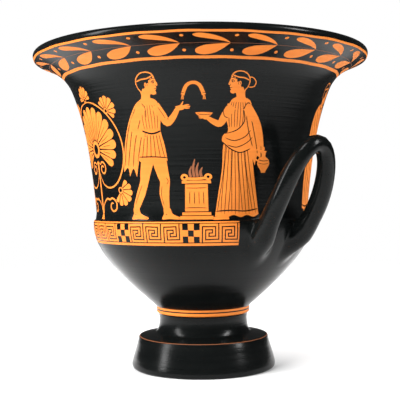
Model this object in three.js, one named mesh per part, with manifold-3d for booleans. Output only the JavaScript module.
// A calyx krater: the deep, wide-mouthed bowl in which wine was mixed with water. It is thrown in
// one turning, from a hollow foot and a short stem to a flaring rim, with two upright loop handles
// luted low on the wall, so the whole pot is one solid of fired clay.
// Millimetres, +Z up. The origin is the centre of the foot's underside, the handles lie on +X and
// -X, and the main picture faces -Y.
import * as THREE from 'three';
import { mergeVertices } from 'three/addons/utils/BufferGeometryUtils.js';
import Module from 'manifold-3d';

// Overall size
const HEIGHT = 330;
const LIP_RADIUS = 175.5;
const FOOT_RADIUS = 75.8;
const STEM_RADIUS = 46.5;
const WALL = 7;

// Heights of the turned features
const FOOT_TOP_Z = 33.5;
const STEM_WAIST_Z = 52;
const RING_LOW_Z = 57;
const RING_HIGH_Z = 64.5;
const LEDGE_Z = 155.6;
const WAIST_Z = 164;
const LIP_LOW_Z = 320.8;

// Radii at those heights
const FOOT_TOP_RADIUS = 69;
const RING_RADIUS = 49.4;
const LEDGE_RADIUS = 114.8;
const WAIST_RADIUS = 111.6;
const LIP_LOW_RADIUS = 173.8;

// Hollow underside
const RESTING_RING_INNER = 61;
const RESTING_RING_OUTER = 73;
const STEM_BORE_RADIUS = 34;
const FOOT_HOLLOW_Z = 25;
const STEM_HOLLOW_Z = 62;

// Handles: the centreline of one half, from inside the wall to the top of the loop
const HANDLE_ROOT = new THREE.Vector3(97, 18, 129);
const HANDLE_SWELL = new THREE.Vector3(133.8, 38.2, 144.7);
const HANDLE_SHOULDER = new THREE.Vector3(160, 30, 227.1);
const HANDLE_TOP = new THREE.Vector3(160, 0, 227.1);

// The bar's radius along a half: sunk in the wall, swelling at the joint, slim over the top
const BAR_RADII = [
  { along: 0, radius: 7 },
  { along: 0.07, radius: 12.4 },
  { along: 0.18, radius: 9.6 },
  { along: 0.5, radius: 8.4 },
];

// Fineness of the facets
const TURN_SEGMENTS = 60;
const HANDLE_SIDES = 12;
const HANDLE_STATIONS = 28;

const wasm = await Module();
wasm.setup();

const point = (radius, z) => new THREE.Vector2(radius, z);

// The points of a cubic curve after its first, which the stretch before it has already given.
function bend(from, leave, arrive, to, steps) {
  return new THREE.CubicBezierCurve(from, leave, arrive, to).getPoints(steps).slice(1);
}

// Foot and stem: a low drum that leans in, its flat top, and a hollow-sided stem with one ring.
function footProfile() {
  const heel = point(RESTING_RING_OUTER, 0);
  const belly = point(FOOT_RADIUS, 4.5);
  const drumTop = point(FOOT_TOP_RADIUS - 0.6, FOOT_TOP_Z - 0.5);
  const stemFoot = point(STEM_RADIUS + 4, FOOT_TOP_Z + 3.3);
  const waist = point(STEM_RADIUS, STEM_WAIST_Z);
  return [
    heel,
    ...bend(heel, point(FOOT_RADIUS - 0.6, 0.2), point(FOOT_RADIUS, 2), belly, 2),
    ...bend(belly, point(FOOT_RADIUS - 0.4, 9), point(FOOT_TOP_RADIUS + 0.4, 27), drumTop, 2),
    point(FOOT_TOP_RADIUS - 2, FOOT_TOP_Z + 0.3),
    stemFoot,
    ...bend(stemFoot, point(STEM_RADIUS + 1, 40), point(STEM_RADIUS, 46), waist, 3),
    point(STEM_RADIUS + 0.9, RING_LOW_Z),
    point(RING_RADIUS, RING_LOW_Z + 1.6),
    point(RING_RADIUS, RING_HIGH_Z - 1.6),
    point(RING_RADIUS, RING_HIGH_Z),
  ];
}

// Lower bowl: it opens out of the stem, swells and turns upright at a small ledge.
function bowlProfile() {
  const start = point(RING_RADIUS, RING_HIGH_Z);
  const ledge = point(LEDGE_RADIUS, LEDGE_Z - 3);
  const flank = point(86.8, 100);
  return [
    ...bend(start, point(60, 74.5), point(72.5, 84), flank, 4),
    ...bend(flank, point(101, 115.5), point(LEDGE_RADIUS, 131), ledge, 5),
    point(LEDGE_RADIUS - 0.2, LEDGE_Z),
    point(WAIST_RADIUS + 0.9, LEDGE_Z + 1.6),
  ];
}

// Tall wall: nearly straight, then flaring hard under a thick rounded lip.
function wallProfile() {
  const waist = point(WAIST_RADIUS, WAIST_Z);
  const shoulder = point(135.6, 290);
  const lipLow = point(LIP_LOW_RADIUS, LIP_LOW_Z);
  return [
    waist,
    ...bend(waist, point(115.5, 206), point(120, 251), shoulder, 6),
    ...bend(shoulder, point(143.5, 309.5), point(160, 315.6), lipLow, 5),
  ];
}

// Lip: a rounded band that stands a little proud of the flare, then rolls into the mouth.
function lipProfile() {
  const low = point(LIP_LOW_RADIUS + 0.9, LIP_LOW_Z + 1);
  const widest = point(LIP_RADIUS, HEIGHT - 4.8);
  const crown = point(LIP_RADIUS - 5, HEIGHT);
  const inner = point(LIP_RADIUS - 13, HEIGHT - 5.5);
  return [
    low,
    widest,
    ...bend(widest, point(LIP_RADIUS, HEIGHT - 1.8), point(LIP_RADIUS - 2.2, HEIGHT), crown, 3),
    ...bend(crown, point(LIP_RADIUS - 8, HEIGHT), point(LIP_RADIUS - 10, HEIGHT - 3), inner, 2),
  ];
}

// Inside of the mouth and bowl, one wall thickness in from the outside, down to a round floor.
function innerProfile() {
  const mouth = point(LIP_RADIUS - 13, HEIGHT - 5.5);
  const shoulder = point(133 - WALL * 0.6, 294);
  const waist = point(WAIST_RADIUS - WALL, WAIST_Z);
  const flank = point(81, 107);
  const floor = point(0, 76);
  return [
    ...bend(mouth, point(147, 318), point(136, 309), shoulder, 4),
    ...bend(shoulder, point(115, 258), point(108.5, 212), waist, 4),
    ...bend(waist, point(106.5, 138), point(97, 122), flank, 3),
    ...bend(flank, point(62, 89), point(40, 76.5), floor, 3),
  ];
}

// Hollow of the foot and stem, open below: it starts on the axis and ends on the resting ring.
function hollowProfile() {
  const crown = point(0, STEM_HOLLOW_Z);
  const bore = point(STEM_BORE_RADIUS, STEM_WAIST_Z);
  const root = point(STEM_BORE_RADIUS + 2, FOOT_HOLLOW_Z + 7);
  return [
    crown,
    ...bend(crown, point(18, STEM_HOLLOW_Z), point(32, 61), bore, 3),
    root,
    ...bend(root, point(40, FOOT_HOLLOW_Z), point(57, FOOT_HOLLOW_Z), point(59, FOOT_HOLLOW_Z - 5), 3),
    point(RESTING_RING_INNER, 0),
  ];
}

// A profile of radius and height turned round the Z axis.
function turned(profile) {
  return new THREE.LatheGeometry(profile, TURN_SEGMENTS).rotateX(Math.PI / 2);
}

// The bar's radius at a share of the loop's length, eased from one station to the next.
function barRadius(along) {
  const fromRoot = Math.min(along, 1 - along);
  const next = Math.max(1, BAR_RADII.findIndex((station) => station.along >= fromRoot - 1e-9));
  const low = BAR_RADII[next - 1];
  const high = BAR_RADII[next];
  const eased = THREE.MathUtils.smoothstep(fromRoot, low.along, high.along);
  return THREE.MathUtils.lerp(low.radius, high.radius, eased);
}

// One loop handle: a round bar carried along the two mirrored halves of its centreline.
function handleGeometry() {
  const mirrored = (place) => new THREE.Vector3(place.x, -place.y, place.z);
  const rising = new THREE.CubicBezierCurve3(
    mirrored(HANDLE_ROOT), mirrored(HANDLE_SWELL), mirrored(HANDLE_SHOULDER), HANDLE_TOP);
  const falling = new THREE.CubicBezierCurve3(
    HANDLE_TOP, HANDLE_SHOULDER, HANDLE_SWELL, HANDLE_ROOT);
  const loop = new THREE.CurvePath();
  loop.add(rising);
  loop.add(falling);

  const bar = new THREE.CylinderGeometry(1, 1, 1, HANDLE_SIDES, HANDLE_STATIONS);
  const places = bar.attributes.position;
  const outward = new THREE.Vector3(1, 0, 0);
  for (let i = 0; i < places.count; i += 1) {
    const along = places.getY(i) + 0.5;
    const centre = loop.getPointAt(along);
    const tangent = loop.getTangentAt(along);
    const inLoop = new THREE.Vector3().crossVectors(tangent, outward).normalize();
    const across = new THREE.Vector3().crossVectors(tangent, inLoop);
    const radius = barRadius(along);
    centre.addScaledVector(across, places.getX(i) * radius);
    centre.addScaledVector(inLoop, places.getZ(i) * radius);
    places.setXYZ(i, centre.x, centre.y, centre.z);
  }
  return bar;
}

function toSolid(geometry) {
  const bare = geometry.clone();
  bare.deleteAttribute('normal');
  bare.deleteAttribute('uv');
  const merged = mergeVertices(bare, 1e-3);
  return new wasm.Manifold(new wasm.Mesh({
    numProp: 3,
    vertProperties: new Float32Array(merged.attributes.position.array),
    triVerts: new Uint32Array(merged.index.array),
  }));
}

function toGeometry(solid) {
  const mesh = solid.getMesh();
  const geometry = new THREE.BufferGeometry();
  geometry.setAttribute('position', new THREE.BufferAttribute(mesh.vertProperties, 3));
  geometry.setIndex(new THREE.BufferAttribute(mesh.triVerts, 1));
  geometry.computeVertexNormals();
  return geometry;
}

// The pot is closed along its outside and its floor first, takes its handles, and is then emptied,
// so that nothing of a handle's root shows inside the bowl.
function kraterSolid() {
  const outside = [...footProfile(), ...bowlProfile(), ...wallProfile(), ...lipProfile()];
  const mouthPlane = point(0, outside.at(-1).y);
  const body = toSolid(turned([point(0, 0), ...outside, mouthPlane]));

  const brim = outside.at(-1);
  const inside = toSolid(turned([...innerProfile().reverse(), brim, point(0, HEIGHT + WALL)]));
  const below = [point(0, -WALL), point(RESTING_RING_INNER, -WALL)];
  const hollow = toSolid(turned([...below, ...hollowProfile().reverse()]));

  const handle = handleGeometry();
  const right = toSolid(handle);
  const left = toSolid(handle.clone().rotateZ(Math.PI));
  return body.add(right).add(left).subtract(inside).subtract(hollow);
}

const blackSlip = new THREE.MeshStandardMaterial({ color: 0x14171a, roughness: 0.38, metalness: 0 });

const krater = new THREE.Mesh(toGeometry(kraterSolid()), blackSlip);
krater.name = 'krater';

const part = new THREE.Group();
part.add(krater);

export default part;
